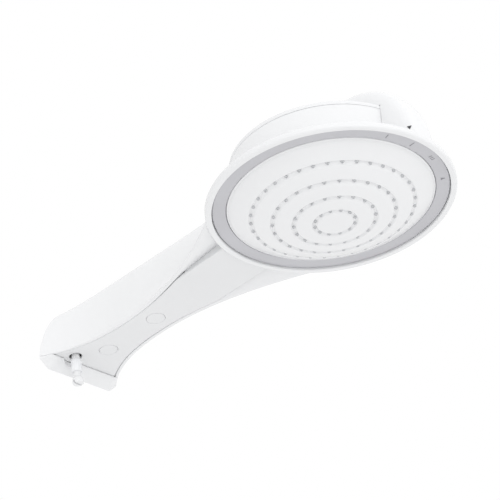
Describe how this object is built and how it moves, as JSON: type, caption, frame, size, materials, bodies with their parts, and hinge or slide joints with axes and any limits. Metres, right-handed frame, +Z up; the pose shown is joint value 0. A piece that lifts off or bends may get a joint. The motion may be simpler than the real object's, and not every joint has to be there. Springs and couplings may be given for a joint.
{
  "type": "electric shower head",
  "caption": "Wall-mounted electric shower head: round domed spray face with a turning selector ring, on a waisted hollow arm with a control spindle.",
  "frame": {"origin": "on the wall face of the foot, in the middle of its width, in the plane of the arm's underside and 24 mm below the inlet axis", "axes": "+X out of the wall along the arm to the head, +Z up, the spray faces -Z"},
  "size_m": [0.428, 0.212, 0.108],
  "materials": {
    "white_gloss": "glossy moulded white",
    "panel_white": "semi-gloss moulded off-white",
    "satin_silver": "satin silver paint on plastic",
    "clear_sleeve": "clear to milky plastic",
    "nozzle_rubber": "soft white silicone",
    "black_rubber": "matt black rubber",
    "dark_plastic": "matt dark grey",
    "inner_plastic": "plain moulded grey",
    "steel": "zinc-plated",
    "brass": "machined",
    "resistance_wire": "drawn, oxidised",
    "circuit_board": "solder mask"
  },
  "bodies": {
    "housing": {"bottom_panel": "panel_white", "cable_grommet": "black_rubber", "chamber_body": "inner_plastic", "chamber_gasket": "black_rubber", "chamber_lid": "inner_plastic", "chamber_screw_1": "steel", "chamber_screw_2": "steel", "chamber_screw_3": "steel", "chamber_screw_4": "steel", "contact_frame": "inner_plastic", "contact_stud_front": "brass", "contact_stud_rear": "brass", "control_board": "circuit_board", "diaphragm": "black_rubber", "diaphragm_cover": "inner_plastic", "drum_lid": "white_gloss", "element_carrier": "inner_plastic", "flow_restrictor": "white_gloss", "head_body": "white_gloss", "heating_coil_boost": "resistance_wire", "heating_coil_main": "resistance_wire", "inlet_socket": "inner_plastic", "inlet_strainer": "inner_plastic", "inlet_washer": "black_rubber", "panel_screw_1": "steel", "panel_screw_2": "steel", "pointer": "dark_plastic", "port_plate": "inner_plastic", "port_seal": "black_rubber", "potentiometer": "dark_plastic", "power_switch": "steel", "return_spring": "steel", "screw_plug_1": "panel_white", "screw_plug_2": "panel_white", "terminal_block": "dark_plastic", "terminal_screw_1": "brass", "terminal_screw_2": "brass", "terminal_screw_3": "brass", "tube_saddle_1": "inner_plastic", "tube_saddle_2": "inner_plastic", "upper_shell": "white_gloss", "wall_foot": "white_gloss", "water_tube": "white_gloss"},
    "spray_head": {"selector_ring": "satin_silver", "spray_plate": "white_gloss", "nozzle_mat": "nozzle_rubber", "manifold_plate": "inner_plastic", "pivot_clip": "steel"},
    "pressure_lifter": {"contact_lifter": "white_gloss", "contact_bridge": "brass"},
    "spindle": {"control_spindle": "white_gloss", "rod_sleeve": "clear_sleeve"}
  },
  "joints": [
    {"name": "selector_turn", "type": "hinge", "parent": "housing", "child": "spray_head", "pos_m": [0.322, 0, 0], "axis": [0, 0, 1], "range_deg": [-45, 8]},
    {"name": "pressure_lift", "type": "slide", "parent": "housing", "child": "pressure_lifter", "axis": [0, 0, 1], "range_m": [0, 0.0027], "stiffness_N_per_m": 400, "springref_m": -0.002, "deforming": ["return_spring"]},
    {"name": "spindle_turn", "type": "hinge", "parent": "housing", "child": "spindle", "pos_m": [0.0174, -0.018, 0], "axis": [0, 0, 1], "range_deg": [0, 270]}
  ]
}
